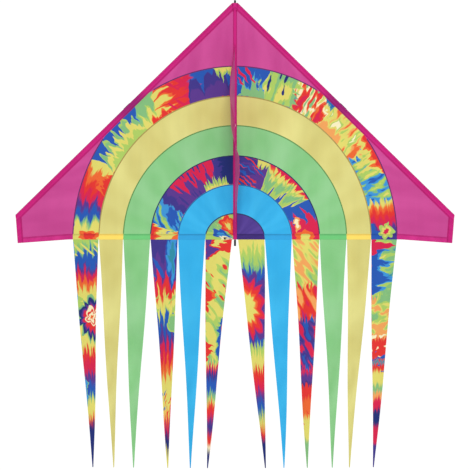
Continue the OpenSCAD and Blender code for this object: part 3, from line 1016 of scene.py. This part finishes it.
def add_hem(panel, side_name):
    """A panel's piece of the trailing hem: its cloth folded up behind and in front and sewn with two rows."""
    side = SIDES[side_name]
    run, fold = np.meshgrid(np.linspace(0, 1, 40), FOLD, indexing="ij")
    height = np.abs(fold) * HEM_H
    start, stop = hem_span(panel, height)
    out = start + (stop - start) * run
    up = hem_line(out) + height
    if panel == "centre_panel":
        way = disc_way(out, up)
    elif panel == "tip_panel":
        way = (run, height / HEM_H)
    else:
        way = (1 - np.arcsin(height / ARCH[ARCHES.index(panel), 1]) / (math.pi / 2), run)
    maps = {"cut": (side * out, up), "way": way, "edge": (out, height)}
    piece = sew(f"{panel}_{side_name}_hem", on_sail(side, out, up, fold_back(fold)), maps,
                cloth_for(panel, side_name, hem=True)[0], "hem_cloth", f"trailing_hem_{side_name}")
    return hold_to_wing(piece, side_name, panel == "centre_panel")


SEAM_COLOURS = [(34, 40, 92), (24, 104, 160), (26, 30, 84), (84, 138, 72), (160, 140, 74), (92, 28, 96)]


def add_arch_seam(arch, side_name):
    """The seam along an arch: a narrow ridge of stitches in front and a wider lap of cloth behind.

    A flat four-sided profile is carried round the ellipse, square to it. It stops where the arch goes
    under the leading edge sleeve.
    """
    side = SIDES[side_name]
    width, height = ARCH[arch]
    high = math.acos((SEAM - 1 * MM) / width)
    angle = np.linspace(high, math.asin(HEM_H / height), 120)[:, None]
    across = np.array([[-1.1, 1.1, 3.5, -3.5]]) * MM
    back = np.array([[-0.34, -0.34, 0.34, 0.34]]) * MM
    square = np.stack([np.cos(angle) / width, np.sin(angle) / height])
    step = across * square / np.hypot(*square)
    out = width * np.cos(angle) + step[0]
    up = HEM_Z + height * np.sin(angle) + step[1]
    seen = np.flatnonzero(from_edge(out, up).min(axis=1) > SLEEVE_W - 1 * MM)
    made = []
    for part, rows in enumerate(np.split(seen, np.flatnonzero(np.diff(seen) > 1) + 1)):
        maps = {"edge": (angle[rows] * width, across)}
        piece = new_mesh(f"{ARCHES[arch]}_{side_name}_seam_{part}", on_sail(side, out[rows], up[rows], back),
                         maps, wrap=True)
        close_ends(piece)
        piece.data.materials.append(seam_paints[arch])
        made.append(hold_to_wing(piece, side_name, part == 0))
    return made


def close_ends(piece):
    """Closes the open ends of a tube and turns all its faces outwards."""
    work = bmesh.new()
    work.from_mesh(piece.data)
    bmesh.ops.holes_fill(work, edges=[e for e in work.edges if e.is_boundary], sides=0)
    bmesh.ops.recalc_face_normals(work, faces=work.faces)
    for edge in work.edges:
        edge.smooth = edge.calc_face_angle(0) < math.radians(40)
    work.to_mesh(piece.data)
    work.free()


def add_wing_cloth(side_name):
    """Every panel of one wing with its hem and seams."""
    sewn = {panel: [] for panel in ("nose_panel", "tip_panel", *ARCHES)}
    for arch, panel in enumerate(ARCHES):
        sewn[panel] += add_arch_seam(arch, side_name)
    for panel, with_pieces in sewn.items():
        piece, out, up = add_panel(panel, side_name)
        area = flat_area(out, up)
        flat = cut_size(out, up)
        if panel != "nose_panel":
            with_pieces.append(add_hem(panel, side_name))
        if panel.endswith("band"):
            arch = ARCHES.index(panel)
            length = float(np.mean(ARCH[arch - 1:arch + 1])) * math.pi / 2
            flat = (area / length, length)


# ---------- sleeves ----------

SPAR_SLEEVE_R = 3.45 * MM
NOTCH_SPACE = 2 * MM  # between the spreader's fitting and the edge of the sleeve's opening for it


def sleeve_profile():
    """Inset from the leading edge and distance behind the sail: from the back edge, round the spar."""
    turn = np.linspace(0.12, 0.88, 17) * 2 * math.pi
    flats = np.array([SLEEVE_W, 15.5 * MM, 15 * MM, 11 * MM, 8.2 * MM])
    inset = np.concatenate([flats, SPAR_SLEEVE_R - SPAR_SLEEVE_R * np.cos(turn - math.pi), flats[::-1]])
    layer = np.full(5, LAYER)
    return inset, np.concatenate([layer, SPAR_SLEEVE_R * np.sin(turn), -layer])


def add_leading_edge_sleeve(side_name):
    """A strip of cloth folded round the spar and sewn down on both faces of the sail.

    Its profile is carried along the leading edge, with a small pucker between its stitches and the spar.
    Over the last 50 mm its lines draw in or out to meet the spine's side and the wing tip's slope. The
    back is cut away where the spreader's fitting holds the spar.
    """
    side = SIDES[side_name]
    inset, back = sleeve_profile()
    around = np.concatenate([[0], np.cumsum(np.hypot(np.diff(inset), np.diff(back)))])
    first = (SLEEVE_START + inset * EDGE_OUT[0]) / EDGE[0]
    last = ((TIP_TOP - NOSE) @ TIP_OUT + inset * (EDGE_OUT @ TIP_OUT)) / (EDGE @ TIP_OUT)
    notch = FITTING_HALF + NOTCH_SPACE
    plain = np.linspace(SLEEVE_START / EDGE[0], EDGE_LEN, 170)
    apart = plain[np.abs(plain - FITTING_AT) > FITTING_HALF + 2 * NOTCH_SPACE]
    along = np.sort(np.concatenate([apart, FITTING_AT + notch * np.array([-1, 0, 1])]))[:, None]
    along = along + (first - first.min()) * np.clip(1 - (along - plain[0]) / (50 * MM), 0, 1) \
        + (last - EDGE_LEN) * np.clip(1 - (EDGE_LEN - along) / (50 * MM), 0, 1)
    out = NOSE[0] + along * EDGE[0] - inset * EDGE_OUT[0]
    up = NOSE[1] + along * EDGE[1] - inset * EDGE_OUT[1]
    free = smooth(inset, 6 * MM, 11 * MM) * smooth(SLEEVE_W - inset, 0, 5 * MM)
    pucker = 0.35 * MM * np.sin(along / (5.5 * MM) + 2 * np.sin(along / (31 * MM))) * free

    def keep(corners):
        """Leaves out the back of the sleeve over the fitting."""
        x, y, z = corners.mean(axis=1).T
        far_out = side * x * COS + (y - SPINE_Y) * SIN
        behind = (y - SPINE_Y) * COS - side * x * SIN
        run = (far_out - NOSE[0]) * EDGE[0] + (z - NOSE[1]) * EDGE[1]
        over = (from_edge(far_out, z) < 15.2 * MM) & (np.abs(run - FITTING_AT) < notch)
        return ~((behind > 0) & over)

    points = on_wing(side, out, up, back + np.sign(back) * np.abs(pucker))
    maps = {"cut": (along, around), "way": (along / EDGE_LEN, around / around[-1]),
            "edge": (along, SLEEVE_W - inset)}
    piece = sew(f"leading_edge_sleeve_{side_name}_cloth", points, maps, sleeve_cloth(), "pink_sleeve_cloth",
                f"leading_edge_sleeve_{side_name}", keep=keep)
    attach(piece, "wing_" + side_name)
    add_nose_web(side_name)


def add_nose_web(side_name):
    """The sleeve cloth that crosses in front of the nose cap, from the spine into the open end of the sleeve.

    It follows the leading edge. It stands clear of the cap at the spine and lies between the sleeve's
    two layers further out.
    """
    side = SIDES[side_name]
    out = np.linspace(0, 24 * MM, 25)[:, None]
    share = np.linspace(0, 1, 15)[None, :]
    top = 5 * MM * (1 - smooth(out, 1 * MM, 8 * MM)) + 0.8 * MM
    inset = top + (SLEEVE_W + 0.5 * MM - top) * share
    up = NOSE[1] + (EDGE[1] * out - inset) / EDGE[0]
    stand = -(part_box("nose_cap")[1].x + 0.8 * MM) * (1 - smooth(out, 2.5 * MM, 10 * MM))
    x = side * (out * COS - stand * SIN * smooth(out, 0, 4 * MM))
    y = SPINE_Y + out * SIN + stand * COS
    maps = {"cut": (side * out, up), "way": (up * 2, share), "edge": (out, SLEEVE_W - inset)}
    piece = sew(f"nose_web_{side_name}_cloth", together(x, y, up), maps, sleeve_cloth(), "pink_sleeve_cloth",
                f"leading_edge_sleeve_{side_name}")
    return hold_to_wing(piece, side_name, True)


def sleeve_cloth():
    """Bright pink cloth, doubled, with two rows of stitches along its inner edge and painted shade along its
    fold.
    """
    if "fold" not in made_cloth:
        # fold sets where the painted shade along the sleeve's folded outer edge begins
        made_cloth["fold"] = plain_cloth(
            "folded_sleeve_cloth_painted_shade", *PLAIN["sleeve"], rows=(2.2 * MM, 4.4 * MM), fold=SLEEVE_W - 2.2 * MM,
            over=[OUTER_W * math.cos(angle) / EDGE[0] / EDGE_LEN for angle in under_sleeve()])
    return made_cloth["fold"]


def add_tip_hem(side_name):
    """The wing tip's hem: cloth folded over the tip's free edge.

    Each of its lines starts 3 mm under the leading edge sleeve and stops at the trailing edge's slope.
    """
    side = SIDES[side_name]
    fold = FOLD[None, :]
    inset = np.abs(fold) * TIP_HEM_W
    run = np.linspace(0, 1, 40)[:, None]
    to_sleeve = (NOSE - TIP_TOP) @ EDGE_OUT - SLEEVE_W
    start = (to_sleeve + inset * (TIP_OUT @ EDGE_OUT)) / (TIP @ EDGE_OUT) - 3 * MM
    slope = unit(TIP_LOW - HEM_BREAK)
    under = np.array([-slope[1], slope[0]])
    stop = ((TIP_LOW - TIP_TOP) @ under + inset * (TIP_OUT @ under)) / (TIP @ under)
    along = start + (stop - start) * run
    out = TIP_TOP[0] + along * TIP[0] - inset * TIP_OUT[0]
    up = TIP_TOP[1] + along * TIP[1] - inset * TIP_OUT[1]
    maps = {"cut": (side * out, up), "way": (run, inset / TIP_HEM_W), "edge": (along, inset)}
    piece = sew(f"tip_hem_{side_name}_cloth", on_sail(side, out, up, fold_back(fold, 1.6 * LAYER)), maps,
                shared_cloth("sleeve", (15.2 * MM, 17.4 * MM)), "pink_sleeve_cloth", f"tip_hem_{side_name}")
    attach(piece, "wing_" + side_name)
    float(np.linalg.norm(TIP_LOW - TIP_TOP))


def add_spine_sleeve():
    """The strip sewn over the spine rod: a round tube with a flat edge on each side, carried up the spine."""
    half, radius = 6 * MM, 3.6 * MM
    turn = np.linspace(0, 2 * math.pi, 48, endpoint=False)[None, :]
    up = np.linspace(HEM_Z, SPINE_TOP, 90)[:, None]
    x = half * np.sign(np.cos(turn)) * np.abs(np.cos(turn)) ** 0.7
    round_part = np.sqrt(np.clip(radius ** 2 - x ** 2, 0, None))
    y = SPINE_Y + np.sign(np.sin(turn)) * np.maximum(round_part, LAYER * np.abs(np.sin(turn)) ** 0.5)
    ripple = 1 + 0.04 * np.sin(up / (6 * MM)) * np.sin(up / (37 * MM))
    girth = 2 * math.pi * radius + 4 * (half - radius)
    maps = {"cut": (turn / (2 * math.pi) * girth, up), "way": (up, 0.5), "edge": (up, half - np.abs(x))}
    piece = sew("spine_sleeve_cloth", together(x * ripple, y, up), maps, shared_cloth("sleeve", (0.9 * MM,)),
                "pink_sleeve_cloth", "spine_sleeve", wrap=True)
    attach(piece, "spine")


# ---------- keel ----------

KEEL_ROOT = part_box("keel_fin")[1].y
KEEL_BOTTOM, KEEL_TOP = [v.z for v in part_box("keel_hem")]
KEEL_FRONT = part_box("keel_hem")[0].y
KEEL_POINT = 16 * MM  # half the height of its blunt point
KEEL_HEM_W = 12 * MM
PATCH_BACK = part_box("keel_patch")[1].y
PATCH_HALF = 24 * MM
PATCH_TRIM = 10 * MM  # the patch stops short of the keel's edges by this
SLEEVE_FRONT = SPINE_Y - 3.7 * MM
EYELET_HIDES = 5.6 * MM
KEEL_CORNERS = np.array([
    (KEEL_ROOT, KEEL_TOP), (KEEL_FRONT, KEEL_POINT), (KEEL_FRONT, -KEEL_POINT), (KEEL_ROOT, KEEL_BOTTOM)])
# heights, and how far the keel leans to the right there
LEAN_AT = [KEEL_BOTTOM, -0.3, -0.2, -0.15, -0.095, -0.045, 0.0, 0.16, 0.24, KEEL_TOP]
LEAN = np.array([0, 3, 8, 12, 11, -4, -13, -13, -8, 0]) * MM


def keel_front(up):
    """How far forward the keel reaches at a height."""
    return np.interp(up, KEEL_CORNERS[::-1, 1], KEEL_CORNERS[::-1, 0])


def keel_points(y, up, aside=0.0):
    """Points of the limp keel, which leans to the left above its middle and to the right below it.

    The lean is nothing where the keel is sewn to the spine, and a sine of the distance forward from
    there. It grows where the keel is narrow.
    """
    out = np.clip((SPINE_Y - y) / (SPINE_Y - KEEL_FRONT), 0, 1)
    depth = np.clip((SPINE_Y - keel_front(up)) / (SPINE_Y - KEEL_FRONT), 0.05, 1)
    bow = np.sin(math.pi * out * (0.62 + 0.38 * smooth(depth, 0.5, 1)))
    return together(np.interp(up, LEAN_AT, LEAN) * bow / (0.45 + 0.55 * depth) + aside, y, up)


def off_eyelet(corners):
    """Leaves a hole in the cloth where the eyelet goes through, under its flanges."""
    return ~(np.hypot(corners[..., 1], corners[..., 2]).max(axis=1) < EYELET_HIDES)


def near_eyelet(low, high, count, reach=9 * MM, step=1 * MM):
    """Evenly spaced places from low to high, close together near the eyelet."""
    coarse = np.linspace(low, high, count)
    fine = np.arange(-reach, reach + step, step)
    return np.sort(np.concatenate([coarse[np.abs(coarse) > reach + step], fine]))


def add_keel():
    """The keel: a limp fin with folded hems on its free edges and a patch on each side of its point.

    The fin's rows run forward from the spine sleeve to 2 mm short of its front edge at each height.
    """
    tuck = 2 * MM
    up = near_eyelet(KEEL_BOTTOM + 1 * MM, KEEL_TOP - 1 * MM, 150)[:, None]
    forward = near_eyelet(KEEL_FRONT + tuck, SLEEVE_FRONT, 60)[None, :]
    share = (SLEEVE_FRONT - forward) / (SLEEVE_FRONT - KEEL_FRONT - tuck)
    y = SLEEVE_FRONT + (keel_front(up) + tuck - SLEEVE_FRONT) * share
    fin = sew("keel_fin_cloth", keel_points(y, up), {"cut": (y, up), "way": (up * 2, share)},
              shared_cloth("magenta"), "magenta_cloth", "keel_fin", keep=off_eyelet)
    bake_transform(fin)
    flat_area(y, up)
    add_keel_hem()
    add_keel_patch("left")
    add_keel_patch("right")


def keel_inner_corners():
    """The hem's inner corners: each free edge moved in by the hem's width, cut where they meet."""
    root = (np.array([KEEL_ROOT, 0.0]), np.array([0.0, 1.0]))
    lines = []
    for a, b in zip(KEEL_CORNERS[:-1], KEEL_CORNERS[1:]):
        way = unit(b - a)
        lines.append((a + KEEL_HEM_W * np.array([-way[1], way[0]]), way))
    joined = []
    for (p, d), (q, e) in zip([root, *lines], [*lines, root]):
        joined.append(p + ((q - p)[0] * e[1] - (q - p)[1] * e[0]) / (d[0] * e[1] - d[1] * e[0]) * d)
    return np.array(joined)


def add_keel_hem():
    """Cloth folded over the keel's three free edges and carried round them, mitred at the corners."""
    edges = enumerate([90, 33, 110])
    way = np.concatenate([k + np.linspace(0, 1, n, endpoint=k == 2) for k, n in edges])[:, None]
    fold = np.unique(np.concatenate([FOLD, np.linspace(-1, 1, 25)]))[None, :]
    inset = np.abs(fold)
    outer_y, outer_up, inner_y, inner_up = [
        np.interp(way, np.arange(4), column) for column in (*KEEL_CORNERS.T, *keel_inner_corners().T)]
    y = outer_y + (inner_y - outer_y) * inset
    up = outer_up + (inner_up - outer_up) * inset
    run = np.concatenate([[0], np.cumsum(np.hypot(np.diff(outer_y[:, 0]), np.diff(outer_up[:, 0])))])[:, None]
    maps = {"cut": (y, up), "way": (run, inset), "edge": (run, inset * KEEL_HEM_W)}
    piece = sew("keel_hem_cloth", keel_points(y, up, fold_back(fold, 1.1 * LAYER)), maps,
                shared_cloth("sleeve", (8.6 * MM, 10.6 * MM)), "pink_sleeve_cloth", "keel_hem",
                keep=off_eyelet)
    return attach(piece, "keel")


def add_keel_patch(side_name):
    """A patch on one side of the fin at its point. Its rows go up from its lower edge to its upper."""
    y = near_eyelet(KEEL_FRONT + KEEL_HEM_W * 0.6, PATCH_BACK, 30)[:, None]
    low, high = [np.interp(y, [KEEL_FRONT, KEEL_ROOT], ends) + trim for ends, trim in (
        ([-KEEL_POINT, KEEL_BOTTOM], PATCH_TRIM), ([KEEL_POINT, KEEL_TOP], -PATCH_TRIM))]
    share = (near_eyelet(-PATCH_HALF, PATCH_HALF, 26) + PATCH_HALF)[None, :] / (2 * PATCH_HALF)
    up = low + (high - low) * share
    maps = {"cut": (y, up), "way": (up * 2, y * 5), "edge": (up, y[-1:] - y)}
    piece = sew(f"keel_patch_{side_name}_cloth", keel_points(y, up, SIDES[side_name] * 2.3 * LAYER), maps,
                shared_cloth("sleeve", (2 * MM,)), "pink_sleeve_cloth", "keel_patch", keep=off_eyelet)
    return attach(piece, "keel")


# ---------- tails ----------

# where along its wave each tail hangs, from the centre outwards
TAIL_WAVES = {"left": [0.4, 1.9, 3.1, 4.4, 5.2, 0.9], "right": [2.2, 3.6, 0.7, 5.5, 1.4, 4.1]}
TAIL_LAP = 6 * MM


def tail_shape(name):
    """A tail's corners along the wing: where it starts and stops at its top, and its tip's two sides."""
    out, up = to_wing(name).T
    top, tip = out[up > TAIL_TOP - 1 * MM], out[up < TAIL_LOW + 1 * MM]
    return top.min(), top.max(), tip.min(), tip.max()


def add_tail(kind, arch, side_name):
    """A streamer that narrows evenly to its tip, bowed and twisted a little as it hangs.

    Along it, the distance down from the hem. Across it, the share between its straight sides. Sines of
    the run sway it sideways, bow it, twist it and cup it across. Its top 6 mm lies behind the hem, where
    it is sewn.
    """
    name = f"{kind}_{side_name}"
    side = SIDES[side_name]
    start, stop, tip_start, tip_stop = tail_shape(name)
    length = TAIL_TOP - TAIL_LOW
    down = np.concatenate([[-TAIL_LAP, -0.5 * TAIL_LAP], np.linspace(0, 1, 84) ** 1.05 * length])[:, None]
    share = np.linspace(0, 1, 9)[None, :]
    run = np.clip(down / length, 0, 1)
    left = start + (tip_start - start) * run
    right = stop + (tip_stop - stop) * run
    wave = TAIL_WAVES[side_name][arch]
    out = left + (right - left) * share + 3.2 * MM * np.sin(run * 4.2 + wave) * np.sin(math.pi * run)
    up = TAIL_TOP - down
    top = billow(side, start + (stop - start) * share, HEM_Z)
    bow = 7 * MM * np.sin(run * 5.3 + wave) * run * (1 - 0.5 * run)
    twist = (share - 0.5) * 9 * MM * np.sin(run * 4 + 2 * wave) * np.sin(math.pi * run)
    cup = 2.2 * MM * (4 * (share - 0.5) ** 2 - 0.3) * np.sin(run * 9 + wave) * smooth(run, 0, 0.15)
    behind = 0.75 * MM * smooth(-down, -2 * MM, 3 * MM)
    points = on_wing(side, out, up, top * (1 - smooth(run, 0, 0.5)) + bow + twist + cup + behind)
    maps = {"cut": (side * out, up), "way": (run, share if side > 0 else 1 - share)}
    piece = sew(f"{name}_cloth", points, maps, *cloth_for(kind, side_name), name)
    hinge = Vector((side * out.mean() * COS, SPINE_Y + out.mean() * SIN, TAIL_TOP))
    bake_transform(piece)
    flat_area(out, up)


# ---------- rods, caps and fittings ----------

def finish_hardware():
    """The CAD rods, caps, fittings and eyelet keep their shapes and get their real finishes."""
    rod, vinyl = fibreglass_paint(), moulded_paint("black_vinyl", (26, 26, 28), 0.42, 900.0)
    nodes_of = {
        rod: ["spine_rod", "spreader_rod", *both("leading_edge_spar")],
        vinyl: ["nose_cap", "spine_end_cap", "spreader_socket", *both("spar_nose_cap"),
                *both("spar_tip_cap")],
        moulded_paint("black_nylon", (30, 30, 33), 0.34, 1500.0): both("spar_fitting"),
        nickel_paint(): ["tow_eyelet"],
    }
    for material, nodes in nodes_of.items():
        for node in nodes:
            for slot in frame["nodes"][node].material_slots:
                slot.material = material


def both(kind):
    return [f"{kind}_{side_name}" for side_name in SIDES]


# ---------- the kite ----------

add_camera()
add_studio()
seam_paints = [thread_paint(f"seam_thread_{k}", colour) for k, colour in enumerate(SEAM_COLOURS)]
add_spine_sleeve()
for side_name in SIDES:
    add_leading_edge_sleeve(side_name)
    add_wing_cloth(side_name)
    add_tip_hem(side_name)
    for arch, kind in enumerate(TAILS):
        add_tail(kind, arch, side_name)
add_keel()
finish_hardware()
